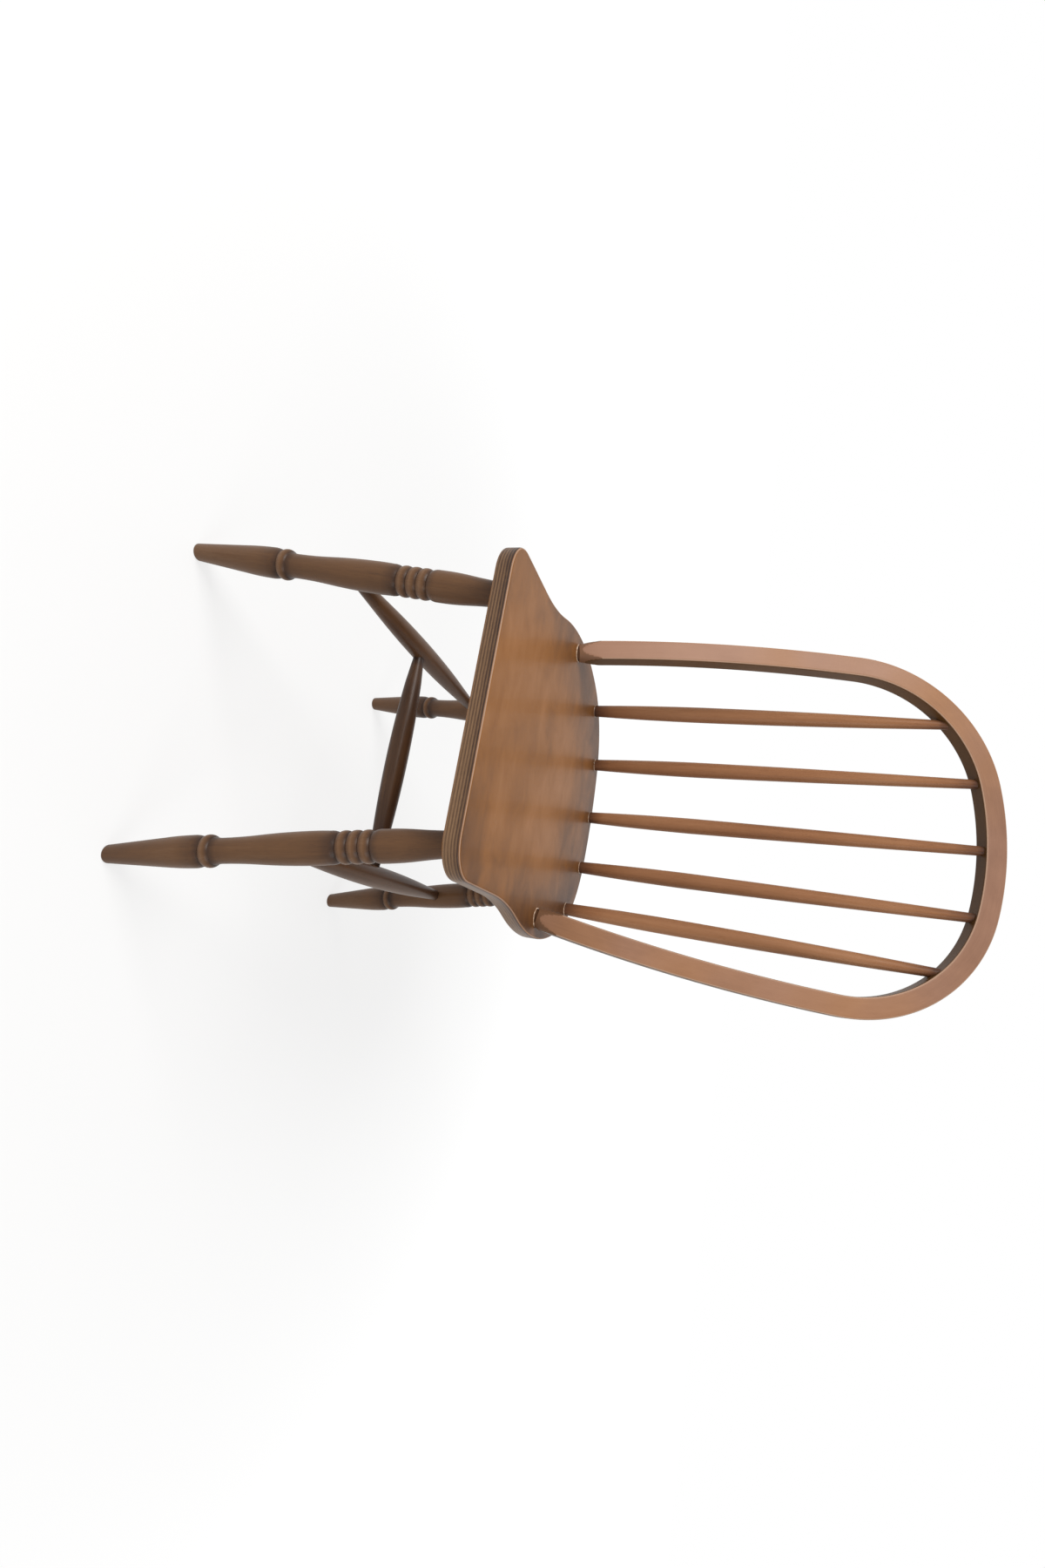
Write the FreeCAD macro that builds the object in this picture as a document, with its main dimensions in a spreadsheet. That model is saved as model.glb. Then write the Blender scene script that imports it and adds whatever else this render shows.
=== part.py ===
# Windsor side chair: a hooped bow and five spindles on a shaped plywood seat,
# four turned legs and an H of three stretchers.
#
# Millimetres. X runs across the chair, Y from front to back and Z up. Left and right are
# as seen from in front. The origin is on the floor, under the middle of the bounding box.
import FreeCAD, Part
import math
import os
import Sketcher
from FreeCAD import Placement, Rotation, Vector

# Driving sizes: lengths in millimetres, angles in degrees
SIZES = {
    # Seat: one board of plywood, nearly level, falling a little to the back. The straight part
    # of its side ends at a distance in from the back edge
    "seat_height": 450,
    "seat_front_reach": 259.94,
    "seat_slope": 1.9,
    "seat_thickness": 19,
    "seat_face_ply": 1.5,
    "seat_depth": 500.5,
    "seat_front_width": 352,
    "seat_width": 405.5,
    "seat_side_straight": 382.1,
    "seat_front_radius": 38,
    "seat_waist_radius": 292,
    "seat_lobe_radius": 298,
    "seat_corner_radius": 142.4,
    "seat_rear_radius": 418.5,
    "seat_edge_round": 3,
    # Legs: where each one leaves the seat and where it stands. A setback is the distance in
    # from the nearer edge of the seat: the front edge for the front legs, and the back edge
    # for the rear legs, the bow and the spindles
    "front_leg_top_x": 136,
    "front_leg_top_setback": 57.7,
    "front_foot_x": 195,
    "front_foot_setback": 43,
    "rear_leg_top_x": 130,
    "rear_leg_top_setback": 96.6,
    "rear_foot_x": 179,
    "rear_foot_setback": -9.5,
    "foot_round": 1.5,
    # Leg turning: distances down the leg from the seat, and diameters
    "leg_top_diameter": 27.4,
    "leg_flare_at": 48,
    "leg_flare_diameter": 32.2,
    "leg_vase_at": 82,
    "leg_vase_diameter": 35.6,
    "leg_vase_end": 97.3,
    "bead_pitch": 13.1,
    "bead_diameter": 35.6,
    "bead_groove_diameter": 31.2,
    "bead_neck_diameter": 30.4,
    "barrel_shoulder_at": 147,
    "barrel_shoulder_diameter": 35.8,
    "barrel_swell_at": 166,
    "barrel_diameter": 36.8,
    "barrel_taper_at": 232,
    "barrel_taper_diameter": 32,
    "waist_at": 280,
    "waist_diameter": 28.4,
    "ankle_bead_at": 295,
    "ankle_bead_width": 13,
    "ankle_bead_diameter": 36.8,
    "ankle_groove_diameter": 31,
    "bulb_at": 315,
    "bulb_diameter": 36.8,
    "bulb_end_at": 345,
    "bulb_end_diameter": 34.6,
    "foot_at": 433.5,
    "foot_diameter": 21.2,
    # Round tenons of the legs, blind in the seat and wedged
    "leg_tenon_diameter": 22,
    "leg_tenon_length": 12.6,
    "leg_wedge_length": 8,
    "leg_wedge_width": 17,
    "leg_wedge_thickness": 2.4,
    # Stretchers: heights are distances down the leg, diameters in the middle and at the ends
    "side_stretcher_on_front_leg": 204,
    "side_stretcher_on_rear_leg": 199,
    "side_stretcher_diameter": 28.4,
    "side_stretcher_taper_from": 120,
    "side_stretcher_taper_diameter": 21.8,
    "side_stretcher_end_diameter": 15,
    "side_stretcher_end_gap": 19.5,
    "side_tenon_stop": 5,
    "cross_stretcher_from_front": 190,
    "cross_stretcher_diameter": 29,
    "cross_stretcher_taper_from": 110,
    "cross_stretcher_taper_diameter": 21.8,
    "cross_stretcher_end_diameter": 15,
    "cross_stretcher_end_gap": 14.5,
    "cross_tenon_stop": 3.5,
    # Bow: bent from one square stick, its size along the middle of the stick
    "bow_setback": 217.2,
    "bow_rake": 18.1,
    "bow_height": 575.5,
    "bow_width": 469.2,
    "bow_foot_spread": 356,
    "bow_stock_width": 26.5,
    "bow_stock_depth": 25,
    "bow_arris_round": 2.5,
    "bow_top_radius": 384.7,
    "bow_shoulder_radius": 175.8,
    "bow_leg_radius": 2480,
    "bow_foot_diameter": 23,
    "bow_foot_taper_height": 32,
    "bow_foot_taper_middle": 29.5,
    "bow_foot_taper_diameter": 35,
    "bow_tenon_diameter": 18,
    "bow_wedge_length": 12,
    "bow_wedge_width": 14,
    "bow_wedge_thickness": 2.6,
    "bow_wedge_proud": 2,
    # Spindles: the middle one, the two beside it and the outer two
    "spindle_inner_x": 80,
    "spindle_outer_x": 149,
    "spindle_middle_setback": 15.2,
    "spindle_inner_setback": 29.2,
    "spindle_outer_setback": 79.3,
    "spindle_inner_top_x": 87.5,
    "spindle_outer_top_x": 162.5,
    "spindle_foot_diameter": 16.6,
    "spindle_rise_at": 60,
    "spindle_rise_diameter": 20.2,
    "spindle_swell_at": 155,
    "spindle_diameter": 22.4,
    "spindle_taper_at": 330,
    "spindle_taper_diameter": 19,
    "spindle_top_diameter": 12.6,
    "spindle_top_straight": 4,
    "spindle_foot_tenon": 12,
    "spindle_top_tenon": 12,
    # Fit of every round tenon in its hole
    "socket_clearance": 0.1,
    "socket_end_clearance": 0.4,
    # Surplus that is trimmed off where a stick meets the seat or the floor
    "trim_allowance": 12,
    # Cutting tools: the trimming blocks, the run of a stretcher's hole, the foot cutter's rim
    "block_side": 1400,
    "hole_run": 45,
    "foot_cutter_radius": 40,
}

doc = FreeCAD.newDocument("windsor_chair")
sheet = doc.addObject("Spreadsheet::Sheet", "sizes")
for row, (name, value) in enumerate(SIZES.items(), 1):
    sheet.set(f"A{row}", name)
    sheet.set(f"B{row}", str(value))
    sheet.setAlias(f"B{row}", name)
doc.recompute()


class Size:
    """A length and the formula in cells that gives it, so a sketch starts near its solved shape."""

    def __init__(self, value, formula):
        self.value = value
        self.formula = formula

    def __add__(self, other):
        return Size(self.value + other.value, f"({self.formula} + {other.formula})")

    def __sub__(self, other):
        return Size(self.value - other.value, f"({self.formula} - {other.formula})")

    def __neg__(self):
        return Size(-self.value, f"(-{self.formula})")

    def times(self, factor):
        return Size(self.value * factor, f"({self.formula} * {factor})")


ZERO = Size(0.0, "0")


def size(alias):
    return Size(float(sheet.get(alias)), f"sizes.{alias}")


def half(alias):
    return size(alias).times(0.5)


def mm(alias):
    return float(sheet.get(alias))


# Sketch helpers
def new_body(label):
    body = doc.addObject("PartDesign::Body", label)
    body.Label = label
    return body


def new_sketch(body, name, role):
    sketch = body.newObject("Sketcher::SketchObject", name)
    plane = [item for item in body.Origin.OriginFeatures if item.Role == role][0]
    sketch.AttachmentSupport = [(plane, "")]
    sketch.MapMode = "FlatFace"
    return sketch


def bind(sketch, constraint, formula):
    index = sketch.addConstraint(constraint)
    sketch.setExpression(f"Constraints[{index}]", formula)


def place_along(sketch, axis, geo, point, length):
    """Fixes one coordinate of a sketch point at a length from the sketch's origin."""
    if length.formula == "0":
        other_axis = -2 if axis == "X" else -1
        sketch.addConstraint(Sketcher.Constraint("PointOnObject", geo, point, other_axis))
    elif length.value > 0:
        bind(sketch, Sketcher.Constraint("Distance" + axis, -1, 1, geo, point, length.value),
             length.formula)
    else:
        bind(sketch, Sketcher.Constraint("Distance" + axis, geo, point, -1, 1, -length.value),
             (-length).formula)


def place(sketch, geo, point, x, y):
    place_along(sketch, "X", geo, point, x)
    place_along(sketch, "Y", geo, point, y)


def add_line(sketch, start, end):
    return sketch.addGeometry(Part.LineSegment(Vector(*start, 0), Vector(*end, 0)), False)


def add_arc(sketch, centre, start, end, turn):
    """An arc about a centre. Returns it with the point numbers of its start and its end."""
    first = math.atan2(start[1] - centre[1], start[0] - centre[0])
    last = math.atan2(end[1] - centre[1], end[0] - centre[0])
    if turn < 0:
        first, last = last, first
    while last < first:
        last += 2 * math.pi
    radius = math.hypot(start[0] - centre[0], start[1] - centre[1])
    circle = Part.Circle(Vector(*centre, 0), Vector(0, 0, 1), radius)
    geo = sketch.addGeometry(Part.ArcOfCircle(circle, first, last), False)
    return (geo, 1, 2) if turn > 0 else (geo, 2, 1)


def circle_through(a, b, c):
    """Centre of the circle through three points, and the side to which a, b, c turns."""
    d = 2 * (a[0] * (b[1] - c[1]) + b[0] * (c[1] - a[1]) + c[0] * (a[1] - b[1]))
    sq = [p[0] ** 2 + p[1] ** 2 for p in (a, b, c)]
    x = (sq[0] * (b[1] - c[1]) + sq[1] * (c[1] - a[1]) + sq[2] * (a[1] - b[1])) / d
    y = (sq[0] * (c[0] - b[0]) + sq[1] * (a[0] - c[0]) + sq[2] * (b[0] - a[0])) / d
    return (x, y), (1 if d > 0 else -1)


def turned_body(label, steps):
    """A stick turned about Z. Each step is (diameter, at) for a straight run to that point, or
    (diameter, at, diameter, at) for an arc through the first point to the second."""
    body = new_body(label)
    sketch = new_sketch(body, label + "_profile", "XZ_Plane")
    first = steps[0]
    geo = add_line(sketch, (0, first[1].value), (first[0].value / 2, first[1].value))
    place(sketch, geo, 1, ZERO, first[1])
    place(sketch, geo, 2, first[0].times(0.5), first[1])
    opening, last, last_point = geo, geo, 2
    at = (first[0].value / 2, first[1].value)
    for step in steps[1:]:
        end = (step[-2].value / 2, step[-1].value)
        if len(step) == 2:
            geo, start_point, end_point = add_line(sketch, at, end), 1, 2
        else:
            via = (step[0].value / 2, step[1].value)
            centre, turn = circle_through(at, via, end)
            geo, start_point, end_point = add_arc(sketch, centre, at, end, turn)
            guide = sketch.addGeometry(Part.Point(Vector(*via, 0)), True)
            place(sketch, guide, 1, step[0].times(0.5), step[1])
            sketch.addConstraint(Sketcher.Constraint("PointOnObject", guide, 1, geo))
        sketch.addConstraint(Sketcher.Constraint("Coincident", last, last_point, geo, start_point))
        place(sketch, geo, end_point, step[-2].times(0.5), step[-1])
        last, last_point, at = geo, end_point, end
    closing = add_line(sketch, at, (0, at[1]))
    sketch.addConstraint(Sketcher.Constraint("Coincident", last, last_point, closing, 1))
    place(sketch, closing, 2, ZERO, steps[-1][-1])
    axis = add_line(sketch, (0, at[1]), (0, first[1].value))
    sketch.addConstraint(Sketcher.Constraint("Coincident", closing, 2, axis, 1))
    sketch.addConstraint(Sketcher.Constraint("Coincident", axis, 2, opening, 1))
    revolution = body.newObject("PartDesign::Revolution", label + "_turning")
    revolution.Profile = sketch
    revolution.ReferenceAxis = (sketch, ["V_Axis"])
    revolution.Angle = 360
    body.Tip = revolution
    return body


# Solid helpers
def cylinder(name, radius, height, placement):
    item = doc.addObject("Part::Cylinder", name)
    item.setExpression("Radius", radius.formula)
    item.setExpression("Height", height.formula)
    item.Placement = placement
    return item


def box(name, length, width, height, placement):
    item = doc.addObject("Part::Box", name)
    item.setExpression("Length", length.formula)
    item.setExpression("Width", width.formula)
    item.setExpression("Height", height.formula)
    item.Placement = placement
    return item


def fuse(name, items):
    result = doc.addObject("Part::MultiFuse", name)
    result.Shapes = items
    result.Refine = True
    return result


def cut(name, base, tools):
    result = doc.addObject("Part::Cut", name)
    result.Base = base
    result.Tool = tools[0] if len(tools) == 1 else fuse(name + "_tools", tools)
    result.Refine = True
    return result


def aimed(origin, direction):
    """Placement that lays a piece's own Z along a direction, its X kept level."""
    z = Vector(direction).normalize()
    level = Vector(0, 0, 1).cross(z)
    if level.Length < 1e-9:
        level = Vector(1, 0, 0)
    x = level.normalize()
    return Placement(origin, Rotation(x, z.cross(x), z, "ZXY"))


# Seat frame: its origin is the middle of the top front edge, Y runs back along the top
SLOPE = math.radians(mm("seat_slope"))
SEAT = Placement(Vector(0, -mm("seat_front_reach"), mm("seat_height")),
                 Rotation(Vector(1, 0, 0), -mm("seat_slope")))


def on_seat(x, setback, below=0.0):
    return SEAT.multVec(Vector(x, setback, -below))


def from_back(alias):
    """Distance behind the front edge of what is set in from the back edge."""
    return mm("seat_depth") - mm(alias)


# Seat: half of the outline is drawn as tangent arcs and mirrored
def meeting_point(c1, r1, c2, r2, side):
    """Where two circles meet, on the left (1) or right (-1) of the line between their centres."""
    dx, dy = c2[0] - c1[0], c2[1] - c1[1]
    d = math.hypot(dx, dy)
    a = (r1 ** 2 - r2 ** 2 + d ** 2) / (2 * d)
    rise = math.sqrt(max(r1 ** 2 - a ** 2, 0.0))
    return (c1[0] + (a * dx - side * rise * dy) / d, c1[1] + (a * dy + side * rise * dx) / d)


def beyond(c1, c2, radius):
    """The point at a radius from c1 on the line from c1 through c2."""
    d = math.hypot(c2[0] - c1[0], c2[1] - c1[1])
    return (c1[0] + radius * (c2[0] - c1[0]) / d, c1[1] + radius * (c2[1] - c1[1]) / d)


def seat_outline(body):
    front, wide, deep = mm("seat_front_width") / 2, mm("seat_width") / 2, mm("seat_depth")
    corner, waist, lobe = mm("seat_front_radius"), mm("seat_waist_radius"), mm("seat_lobe_radius")
    quarter, rear = mm("seat_corner_radius"), mm("seat_rear_radius")
    straight = from_back("seat_side_straight")
    c_front = (front - corner, corner)
    c_waist = (front + waist, straight)
    c_lobe_x = wide - lobe
    c_lobe = (c_lobe_x, straight + math.sqrt((waist + lobe) ** 2 - (c_waist[0] - c_lobe_x) ** 2))
    c_rear = (0.0, deep - rear)
    c_quarter = meeting_point(c_lobe, lobe - quarter, c_rear, rear - quarter, 1)
    p1, p2, p3 = (0, 0), (front - corner, 0), (front, corner)
    p4 = (front, straight)
    p5 = beyond(c_waist, c_lobe, waist)
    p6 = beyond(c_lobe, c_quarter, lobe)
    p7 = beyond(c_rear, c_quarter, rear)
    p8 = (0, deep)
    sketch = new_sketch(body, "seat_outline", "XY_Plane")
    edge = add_line(sketch, p1, p2)
    front_arc = add_arc(sketch, c_front, p2, p3, 1)
    side = add_line(sketch, p3, p4)
    waist_arc = add_arc(sketch, c_waist, p4, p5, -1)
    lobe_arc = add_arc(sketch, c_lobe, p5, p6, 1)
    quarter_arc = add_arc(sketch, c_quarter, p6, p7, 1)
    rear_arc = add_arc(sketch, c_rear, p7, p8, 1)
    middle = add_line(sketch, p8, p1)
    place(sketch, edge, 1, ZERO, ZERO)
    sketch.addConstraint(Sketcher.Constraint("Horizontal", edge))
    sketch.addConstraint(Sketcher.Constraint("Vertical", side))
    chain = [(edge, 1, 2), front_arc, (side, 1, 2), waist_arc, lobe_arc, quarter_arc, rear_arc]
    for one, two in zip(chain, chain[1:]):
        sketch.addConstraint(Sketcher.Constraint("Tangent", one[0], one[2], two[0], two[1]))
    sketch.addConstraint(Sketcher.Constraint("Coincident", rear_arc[0], rear_arc[2], middle, 1))
    sketch.addConstraint(Sketcher.Constraint("Coincident", middle, 2, edge, 1))
    sketch.addConstraint(Sketcher.Constraint("PointOnObject", rear_arc[0], 3, -2))
    place(sketch, rear_arc[0], rear_arc[2], ZERO, size("seat_depth"))
    place_along(sketch, "X", side, 1, half("seat_front_width"))
    place_along(sketch, "Y", side, 2, size("seat_depth") - size("seat_side_straight"))
    place_along(sketch, "X", lobe_arc[0], 3, half("seat_width") - size("seat_lobe_radius"))
    for arc, alias in ((front_arc, "seat_front_radius"), (waist_arc, "seat_waist_radius"),
                       (lobe_arc, "seat_lobe_radius"), (quarter_arc, "seat_corner_radius"),
                       (rear_arc, "seat_rear_radius")):
        bind(sketch, Sketcher.Constraint("Radius", arc[0], mm(alias)), size(alias).formula)
    return sketch


seat = new_body("seat_board")
outline = seat_outline(seat)
board = seat.newObject("PartDesign::Pad", "seat_pad")
board.Profile = outline
board.setExpression("Length", "sizes.seat_thickness")
board.Reversed = True
mirrored = seat.newObject("PartDesign::Mirrored", "seat_mirror")
mirrored.Originals = [board]
mirrored.MirrorPlane = (outline, ["V_Axis"])
mirrored.Refine = True
seat.Tip = mirrored
doc.recompute()
flat_faces = []
for number, face in enumerate(mirrored.Shape.Faces, 1):
    if abs(abs(face.normalAt(0, 0).z) - 1) < 1e-6:
        flat_faces.append(f"Face{number}")
easing = seat.newObject("PartDesign::Fillet", "seat_easing")
easing.Base = (mirrored, flat_faces)
easing.setExpression("Radius", "sizes.seat_edge_round")
seat.Tip = easing
seat.Placement = SEAT

# Large blocks that trim the sticks: above the seat's underside, below its top, below the floor
BLOCK = size("block_side")


def block(name, frame, low):
    """A block on the middle of a frame's own X and Y, standing on a height in that frame."""
    corner = Placement(Vector(-BLOCK.value / 2, -BLOCK.value / 2, low), Rotation())
    return box(name, BLOCK, BLOCK, BLOCK, frame.multiply(corner))


above_underside = block("above_underside", SEAT, -mm("seat_thickness"))
below_top = block("below_top", SEAT, -BLOCK.value)
below_floor = block("below_floor", Placement(), -BLOCK.value)


# Legs
def leg_line(which, measured, side):
    """Middle of the leg at the seat's underside, and its direction down to the floor."""
    top = on_seat(side * mm(which + "_leg_top_x"), measured(which + "_leg_top_setback"),
                  mm("seat_thickness"))
    foot = Vector(side * mm(which + "_foot_x"),
                  measured(which + "_foot_setback") - mm("seat_front_reach"), 0)
    return top, (foot - top).normalize()


LEGS = {}
for side, word in ((-1, "left"), (1, "right")):
    LEGS["leg_front_" + word] = leg_line("front", mm, side)
    LEGS["leg_rear_" + word] = leg_line("rear", from_back, side)


def leg_profile():
    """Stations down the leg: flare and vase, three beads, barrel, waist, ankle bead, bulb."""
    bead = size("leg_vase_end")
    pitch = size("bead_pitch")
    bead_round = size("bead_diameter")
    groove = size("bead_groove_diameter")
    ankle = size("ankle_bead_at")
    ankle_half = half("ankle_bead_width")
    ankle_groove = size("ankle_groove_diameter")
    vase = size("leg_vase_diameter")
    top = size("leg_top_diameter")
    barrel_start = bead + pitch.times(3)
    shoulder = size("barrel_shoulder_at")
    waist = size("waist_diameter")
    swell = size("barrel_diameter")
    taper = size("barrel_taper_diameter")
    bulb = size("bulb_diameter")
    foot_slope = (size("foot_diameter") - size("bulb_end_diameter")).times(0.2)
    foot_run = (size("foot_at") - size("bulb_end_at")).times(0.2)
    vase_turn = size("leg_vase_at") + (bead - size("leg_vase_at")).times(0.4)
    return [
        (top, -size("trim_allowance")),
        (top, ZERO),
        (top.times(0.75) + size("leg_flare_diameter").times(0.25), size("leg_flare_at").times(0.5),
         size("leg_flare_diameter"), size("leg_flare_at")),
        (size("leg_flare_diameter").times(0.25) + vase.times(0.75),
         (size("leg_flare_at") + size("leg_vase_at")).times(0.5), vase, size("leg_vase_at")),
        (vase, vase_turn),
        (vase.times(0.7) + size("bead_neck_diameter").times(0.3),
         vase_turn + (bead - vase_turn).times(0.6), size("bead_neck_diameter"), bead),
        (bead_round, bead + pitch.times(0.5), groove, bead + pitch),
        (bead_round, bead + pitch.times(1.5), groove, bead + pitch.times(2)),
        (bead_round, bead + pitch.times(2.5), size("bead_neck_diameter"), barrel_start),
        (size("barrel_shoulder_diameter").times(0.7) + size("bead_neck_diameter").times(0.3),
         barrel_start + (shoulder - barrel_start).times(0.35),
         size("barrel_shoulder_diameter"), shoulder),
        (size("barrel_shoulder_diameter").times(0.25) + swell.times(0.75),
         (shoulder + size("barrel_swell_at")).times(0.5), swell, size("barrel_swell_at")),
        (swell.times(0.75) + taper.times(0.25),
         (size("barrel_swell_at") + size("barrel_taper_at")).times(0.5),
         taper, size("barrel_taper_at")),
        (taper.times(0.25) + waist.times(0.75),
         (size("barrel_taper_at") + size("waist_at")).times(0.5), waist, size("waist_at")),
        (waist.times(0.72) + ankle_groove.times(0.28),
         (size("waist_at") + ankle - ankle_half).times(0.5), ankle_groove, ankle - ankle_half),
        (size("ankle_bead_diameter"), ankle, ankle_groove, ankle + ankle_half),
        (bulb.times(0.72) + ankle_groove.times(0.28),
         (ankle + ankle_half).times(0.6) + size("bulb_at").times(0.4), bulb, size("bulb_at")),
        (bulb.times(0.75) + size("bulb_end_diameter").times(0.25),
         (size("bulb_at") + size("bulb_end_at")).times(0.5),
         size("bulb_end_diameter"), size("bulb_end_at")),
        (size("foot_diameter"), size("foot_at")),
        (size("foot_diameter") + foot_slope, size("foot_at") + foot_run),
    ]


# Side stretchers run between the middles of two legs, the cross stretcher between those two
def along(line, distance):
    return line[0] + line[1] * distance


STRETCHERS = {}
for word in ("left", "right"):
    front_end = along(LEGS["leg_front_" + word], mm("side_stretcher_on_front_leg"))
    rear_end = along(LEGS["leg_rear_" + word], mm("side_stretcher_on_rear_leg"))
    STRETCHERS["side_stretcher_" + word] = (front_end, rear_end)


def toward(start, end, distance):
    return start + (end - start).normalize() * distance


STRETCHERS["cross_stretcher"] = tuple(
    toward(*STRETCHERS["side_stretcher_" + word], mm("cross_stretcher_from_front"))
    for word in ("left", "right"))

SOCKET = size("socket_clearance")


def sockets(name, start, end, kind):
    """Holes for a stretcher's two tenons, the first at its start and the other at its end."""
    radius = half(kind + "_stretcher_end_diameter") + SOCKET
    stop = mm(kind[:5] + "_tenon_stop") - mm("socket_end_clearance")
    length = size("hole_run")
    first = cylinder(name + "_hole_1", radius, length,
                     aimed(toward(start, end, stop), end - start))
    second = cylinder(name + "_hole_2", radius, length,
                      aimed(toward(end, start, stop), start - end))
    return first, second


def stretcher(name, start, end, kind, tenon_stop):
    """A stick that swells in the middle and runs down to a round tenon at each end."""
    length = (end - start).Length
    middle = Size(length / 2, f"{length / 2}")
    taper = size(kind + "_taper_from")
    stout = size(kind + "_diameter")
    thin = size(kind + "_end_diameter")
    taper_size = size(kind + "_taper_diameter")
    gap = size(kind + "_end_gap")
    stop = size(tenon_stop)
    return turned_body(name + "_turning", [
        (thin, stop),
        (thin, gap),
        (taper_size, middle - taper),
        (stout, middle, taper_size, middle + taper),
        (thin, middle + middle - gap),
        (thin, middle + middle - stop),
    ])


HOLES = {}
for name, (start, end) in STRETCHERS.items():
    kind = "side" if name.startswith("side") else "cross"
    HOLES[name] = sockets(name, start, end, kind)


# Leg tenons: each is spread in its blind hole by a small wedge, driven as the leg goes home
def wedge(name, prefix, placement):
    """Thick at its own origin and thin at its far end, both ways from the middle."""
    item = doc.addObject("Part::Wedge", name)
    item.setExpression("Ymin", "0")
    item.setExpression("Ymax", f"sizes.{prefix}_wedge_length")
    for low, high, term in (("Xmin", "Xmax", f"sizes.{prefix}_wedge_width * 0.5"),
                            ("X2min", "X2max", f"sizes.{prefix}_wedge_width * 0.5"),
                            ("Zmin", "Zmax", f"sizes.{prefix}_wedge_thickness * 0.5"),
                            ("Z2min", "Z2max", f"sizes.{prefix}_wedge_thickness * 0.15")):
        item.setExpression(low, "-" + term)
        item.setExpression(high, term)
    item.Placement = placement
    return item


def ease_foot(name, shaft):
    """Rounds the edge where a leg is cut flat on the floor."""
    doc.recompute()
    edges = []
    for number, edge in enumerate(shaft.Shape.Edges, 1):
        box_of_edge = edge.BoundBox
        if abs(box_of_edge.ZMin) < 0.01 and abs(box_of_edge.ZMax) < 0.01:
            edges.append((number, mm("foot_round"), mm("foot_round")))
    eased = doc.addObject("Part::Fillet", name)
    eased.Base = shaft
    eased.Edges = edges
    return eased


PIECES = {}
leg_holes, leg_wedges = [], []
for name, (top, down) in LEGS.items():
    blank = turned_body(name + "_turning", leg_profile())
    blank.Placement = aimed(top, down)
    word = name.split("_")[-1]
    shaft = cut(name + "_shaft", blank, [above_underside, below_floor])
    tenon_root = mm("trim_allowance")
    tenon = cylinder(name + "_tenon", half("leg_tenon_diameter"),
                     size("leg_tenon_length") + size("trim_allowance"),
                     aimed(top + down * tenon_root, -down))
    joined = fuse(name + "_joined", [ease_foot(name + "_foot", shaft), tenon])
    tip = aimed(top - down * mm("leg_tenon_length"), down)
    lengthwise = tip.multiply(Placement(Vector(), Rotation(Vector(1, 0, 0), 90)))
    leg_wedges.append(wedge(name + "_wedge", "leg", lengthwise))
    hole = HOLES["side_stretcher_" + word][0 if "front" in name else 1]
    PIECES[name] = cut(name, joined, [leg_wedges[-1], hole])
    leg_holes.append(cylinder(name + "_hole", half("leg_tenon_diameter") + SOCKET,
                              size("leg_tenon_length") + size("socket_end_clearance")
                              + size("trim_allowance"),
                              aimed(top + down * tenon_root, -down)))

# Stretchers
for word in ("left", "right"):
    name = "side_stretcher_" + word
    start, end = STRETCHERS[name]
    blank = stretcher(name, start, end, "side_stretcher", "side_tenon_stop")
    blank.Placement = aimed(start, end - start)
    hole = HOLES["cross_stretcher"][0 if word == "left" else 1]
    PIECES[name] = cut(name, blank, [hole])

start, end = STRETCHERS["cross_stretcher"]
blank = stretcher("cross_stretcher", start, end, "cross_stretcher", "cross_tenon_stop")
blank.Placement = aimed(start, end - start)
PIECES["cross_stretcher"] = blank

# Bow: a plane through the seat that leans back, the middle of the stick lies in it
BOW = SEAT.multiply(Placement(Vector(0, from_back("bow_setback"), 0),
                              Rotation(Vector(1, 0, 0), 90 - mm("bow_rake"))))
BOW_TOP = mm("bow_height") - mm("bow_stock_width") / 2
TOP_CENTRE = (0.0, BOW_TOP - mm("bow_top_radius"))
shoulder_x = (mm("bow_width") - mm("bow_stock_width")) / 2 - mm("bow_shoulder_radius")
top_gap = mm("bow_top_radius") - mm("bow_shoulder_radius")
SHOULDER_CENTRE = (shoulder_x, TOP_CENTRE[1] + math.sqrt(top_gap ** 2 - shoulder_x ** 2))
FOOT = (mm("bow_foot_spread") / 2, 0.0)
LEG_CENTRE = meeting_point(SHOULDER_CENTRE, mm("bow_leg_radius") - mm("bow_shoulder_radius"),
                           FOOT, mm("bow_leg_radius"), -1)
FOOT_UP = Vector(LEG_CENTRE[1] - FOOT[1], FOOT[0] - LEG_CENTRE[0], 0).normalize()
if FOOT_UP.y < 0:
    FOOT_UP = -FOOT_UP


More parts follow.
